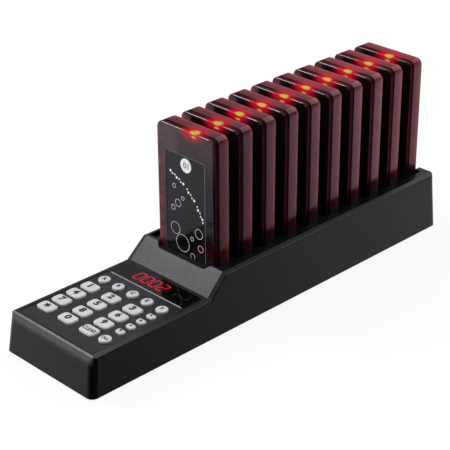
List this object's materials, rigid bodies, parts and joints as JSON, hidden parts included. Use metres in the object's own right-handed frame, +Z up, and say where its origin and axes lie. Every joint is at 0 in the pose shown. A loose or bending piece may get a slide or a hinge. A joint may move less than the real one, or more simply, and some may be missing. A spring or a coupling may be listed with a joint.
{
  "type": "guest pager system",
  "caption": "Desk transmitter with a sprung keypad and a digit display, joined to a charging rack in which a row of guest pagers stands and lifts out.",
  "frame": {"origin": "on the table, under the middle of the base", "axes": "+X to the operator's right, +Y from the keypad to the pagers, +Z up"},
  "size_m": [0.0892, 0.3498, 0.1354],
  "materials": {
    "housing": "fine spark-eroded texture, black",
    "cover": "fine texture, black",
    "rack": "fine texture, black",
    "rubber": "matt",
    "zinc_steel": "zinc plated",
    "keypad_panel": "satin printed film, black",
    "silicone": "matt, translucent grey",
    "smoked_window": "polished, dark smoked",
    "display": "lit red digits behind a dark face",
    "circuit_board": "solder resist, green",
    "gold_contact": "gold plated",
    "ribbon": "grey flat cable",
    "shield_can": "tin plated",
    "black_moulding": "plain moulded, black",
    "ferrite": "sintered, dark grey",
    "keycap": "smooth, light grey with black legends",
    "pager_case": "polished, smoked dark red",
    "pager_works": "circuit board with its battery"
  },
  "bodies": {
    "base": {"antenna": "ferrite", "board_screws": "zinc_steel", "bottom_cover": "cover", "buzzer": "black_moulding", "case_screws": "zinc_steel", "charging_board": "circuit_board", "charging_contacts": "gold_contact", "dc_jack": "black_moulding", "display_module": "display", "display_window": "smoked_window", "keypad_mat": "silicone", "keypad_panel": "keypad_panel", "main_board": "circuit_board", "pager_rack": "rack", "ribbon_cable": "ribbon", "rubber_feet": "rubber", "top_housing": "housing", "transmitter_module": "shield_can"},
    "key_star": {"key_star": "keycap"},
    "key_7": {"key_7": "keycap"},
    "key_4": {"key_4": "keycap"},
    "key_1": {"key_1": "keycap"},
    "key_0": {"key_0": "keycap"},
    "key_8": {"key_8": "keycap"},
    "key_5": {"key_5": "keycap"},
    "key_2": {"key_2": "keycap"},
    "key_clear": {"key_clear": "keycap"},
    "key_9": {"key_9": "keycap"},
    "key_6": {"key_6": "keycap"},
    "key_3": {"key_3": "keycap"},
    "key_a": {"key_a": "keycap"},
    "key_b": {"key_b": "keycap"},
    "key_c": {"key_c": "keycap"},
    "key_e": {"key_e": "keycap"},
    "key_f": {"key_f": "keycap"},
    "key_small_1": {"key_small_1": "keycap"},
    "key_small_2": {"key_small_2": "keycap"},
    "key_small_3": {"key_small_3": "keycap"},
    "key_small_4": {"key_small_4": "keycap"},
    "key_call": {"key_call": "keycap"},
    "pager_01": {"pager_01_case": "pager_case", "pager_01_works": "pager_works"},
    "pager_02": {"pager_02_case": "pager_case", "pager_02_works": "pager_works"},
    "pager_03": {"pager_03_case": "pager_case", "pager_03_works": "pager_works"},
    "pager_04": {"pager_04_case": "pager_case", "pager_04_works": "pager_works"},
    "pager_05": {"pager_05_case": "pager_case", "pager_05_works": "pager_works"},
    "pager_06": {"pager_06_case": "pager_case", "pager_06_works": "pager_works"},
    "pager_07": {"pager_07_case": "pager_case", "pager_07_works": "pager_works"},
    "pager_08": {"pager_08_case": "pager_case", "pager_08_works": "pager_works"},
    "pager_09": {"pager_09_case": "pager_case", "pager_09_works": "pager_works"},
    "pager_10": {"pager_10_case": "pager_case", "pager_10_works": "pager_works"}
  },
  "joints": [
    {"name": "key_star_press", "type": "slide", "parent": "base", "child": "key_star", "axis": [0, 0, -1], "range_m": [0, 0.0012], "stiffness_N_per_m": 400, "springref_m": -0.001},
    {"name": "key_7_press", "type": "slide", "parent": "base", "child": "key_7", "axis": [0, 0, -1], "range_m": [0, 0.0012], "stiffness_N_per_m": 400, "springref_m": -0.001},
    {"name": "key_4_press", "type": "slide", "parent": "base", "child": "key_4", "axis": [0, 0, -1], "range_m": [0, 0.0012], "stiffness_N_per_m": 400, "springref_m": -0.001},
    {"name": "key_1_press", "type": "slide", "parent": "base", "child": "key_1", "axis": [0, 0, -1], "range_m": [0, 0.0012], "stiffness_N_per_m": 400, "springref_m": -0.001},
    {"name": "key_0_press", "type": "slide", "parent": "base", "child": "key_0", "axis": [0, 0, -1], "range_m": [0, 0.0012], "stiffness_N_per_m": 400, "springref_m": -0.001},
    {"name": "key_8_press", "type": "slide", "parent": "base", "child": "key_8", "axis": [0, 0, -1], "range_m": [0, 0.0012], "stiffness_N_per_m": 400, "springref_m": -0.001},
    {"name": "key_5_press", "type": "slide", "parent": "base", "child": "key_5", "axis": [0, 0, -1], "range_m": [0, 0.0012], "stiffness_N_per_m": 400, "springref_m": -0.001},
    {"name": "key_2_press", "type": "slide", "parent": "base", "child": "key_2", "axis": [0, 0, -1], "range_m": [0, 0.0012], "stiffness_N_per_m": 400, "springref_m": -0.001},
    {"name": "key_clear_press", "type": "slide", "parent": "base", "child": "key_clear", "axis": [0, 0, -1], "range_m": [0, 0.0012], "stiffness_N_per_m": 400, "springref_m": -0.001},
    {"name": "key_9_press", "type": "slide", "parent": "base", "child": "key_9", "axis": [0, 0, -1], "range_m": [0, 0.0012], "stiffness_N_per_m": 400, "springref_m": -0.001},
    {"name": "key_6_press", "type": "slide", "parent": "base", "child": "key_6", "axis": [0, 0, -1], "range_m": [0, 0.0012], "stiffness_N_per_m": 400, "springref_m": -0.001},
    {"name": "key_3_press", "type": "slide", "parent": "base", "child": "key_3", "axis": [0, 0, -1], "range_m": [0, 0.0012], "stiffness_N_per_m": 400, "springref_m": -0.001},
    {"name": "key_a_press", "type": "slide", "parent": "base", "child": "key_a", "axis": [0, 0, -1], "range_m": [0, 0.0012], "stiffness_N_per_m": 400, "springref_m": -0.001},
    {"name": "key_b_press", "type": "slide", "parent": "base", "child": "key_b", "axis": [0, 0, -1], "range_m": [0, 0.0012], "stiffness_N_per_m": 400, "springref_m": -0.001},
    {"name": "key_c_press", "type": "slide", "parent": "base", "child": "key_c", "axis": [0, 0, -1], "range_m": [0, 0.0012], "stiffness_N_per_m": 400, "springref_m": -0.001},
    {"name": "key_e_press", "type": "slide", "parent": "base", "child": "key_e", "axis": [0, 0, -1], "range_m": [0, 0.0012], "stiffness_N_per_m": 400, "springref_m": -0.001},
    {"name": "key_f_press", "type": "slide", "parent": "base", "child": "key_f", "axis": [0, 0, -1], "range_m": [0, 0.0012], "stiffness_N_per_m": 400, "springref_m": -0.001},
    {"name": "key_small_1_press", "type": "slide", "parent": "base", "child": "key_small_1", "axis": [0, 0, -1], "range_m": [0, 0.0012], "stiffness_N_per_m": 400, "springref_m": -0.001},
    {"name": "key_small_2_press", "type": "slide", "parent": "base", "child": "key_small_2", "axis": [0, 0, -1], "range_m": [0, 0.0012], "stiffness_N_per_m": 400, "springref_m": -0.001},
    {"name": "key_small_3_press", "type": "slide", "parent": "base", "child": "key_small_3", "axis": [0, 0, -1], "range_m": [0, 0.0012], "stiffness_N_per_m": 400, "springref_m": -0.001},
    {"name": "key_small_4_press", "type": "slide", "parent": "base", "child": "key_small_4", "axis": [0, 0, -1], "range_m": [0, 0.0012], "stiffness_N_per_m": 400, "springref_m": -0.001},
    {"name": "key_call_press", "type": "slide", "parent": "base", "child": "key_call", "axis": [0, 0, -1], "range_m": [0, 0.0012], "stiffness_N_per_m": 400, "springref_m": -0.001},
    {"name": "pager_01_lift", "type": "slide", "parent": "base", "child": "pager_01", "axis": [0, 0, 1], "range_m": [0, 0.04]},
    {"name": "pager_02_lift", "type": "slide", "parent": "base", "child": "pager_02", "axis": [0, 0, 1], "range_m": [0, 0.04]},
    {"name": "pager_03_lift", "type": "slide", "parent": "base", "child": "pager_03", "axis": [0, 0, 1], "range_m": [0, 0.04]},
    {"name": "pager_04_lift", "type": "slide", "parent": "base", "child": "pager_04", "axis": [0, 0, 1], "range_m": [0, 0.04]},
    {"name": "pager_05_lift", "type": "slide", "parent": "base", "child": "pager_05", "axis": [0, 0, 1], "range_m": [0, 0.04]},
    {"name": "pager_06_lift", "type": "slide", "parent": "base", "child": "pager_06", "axis": [0, 0, 1], "range_m": [0, 0.04]},
    {"name": "pager_07_lift", "type": "slide", "parent": "base", "child": "pager_07", "axis": [0, 0, 1], "range_m": [0, 0.04]},
    {"name": "pager_08_lift", "type": "slide", "parent": "base", "child": "pager_08", "axis": [0, 0, 1], "range_m": [0, 0.04]},
    {"name": "pager_09_lift", "type": "slide", "parent": "base", "child": "pager_09", "axis": [0, 0, 1], "range_m": [0, 0.04]},
    {"name": "pager_10_lift", "type": "slide", "parent": "base", "child": "pager_10", "axis": [0, 0, 1], "range_m": [0, 0.04]}
  ]
}
